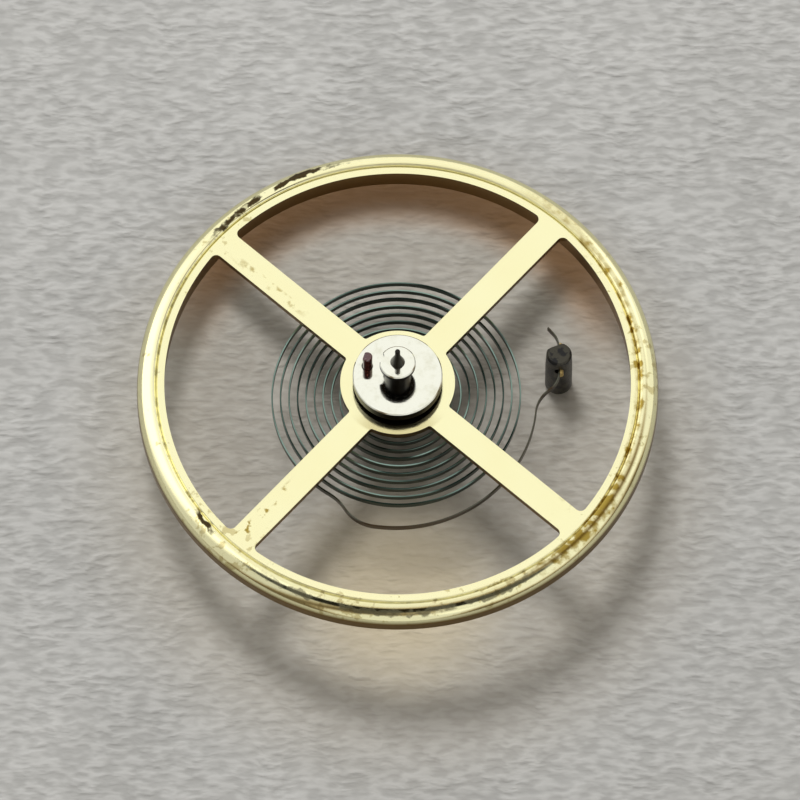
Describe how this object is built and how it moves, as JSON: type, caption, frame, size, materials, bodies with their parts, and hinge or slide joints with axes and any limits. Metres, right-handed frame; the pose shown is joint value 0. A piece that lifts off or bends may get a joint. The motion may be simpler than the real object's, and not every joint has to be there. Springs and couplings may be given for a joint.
{
  "type": "balance wheel",
  "caption": "Watch balance, complete: a four-arm gilt wheel on a steel staff with a double roller, impulse jewel, flat hairspring, collet and stud.",
  "frame": {"origin": "tip of the lower pivot, the one that runs under the balance cock, which is also the bottom centre of the part's box", "axes": "+Z along the staff towards the roller end, +X to the right of the picture, on the side where the stud is"},
  "size_m": [0.01, 0.01, 0.003],
  "materials": {
    "gilt_wheel": "polished gilt, with light tarnish in the groove and at the arm ends",
    "polished_steel": "turned and burnished",
    "roller_steel": "mirror polished",
    "ruby": "polished synthetic ruby, dark red",
    "shellac": "amber, glossy",
    "collet_brass": "satin",
    "spring_steel": "rolled ribbon, grey with a green-blue cast",
    "stud_steel": "blackened steel, satin"
  },
  "bodies": {
    "stud_end": {"stud": "stud_steel", "stud_pin": "collet_brass"},
    "balance": {"balance_wheel": "gilt_wheel", "balance_staff": "polished_steel", "impulse_roller": "roller_steel", "safety_roller": "roller_steel", "impulse_jewel": "ruby", "jewel_shellac": "shellac", "collet": "collet_brass", "collet_pin": "collet_brass", "hairspring": "spring_steel"}
  },
  "joints": [
    {"name": "balance_swing", "type": "hinge", "parent": "stud_end", "child": "balance", "pos_m": [0, 0, 0.00165], "axis": [0, 0, 1], "range_deg": [-300, 300], "stiffness_Nm_per_rad": 0.0000005, "deforming": ["hairspring"]}
  ]
}
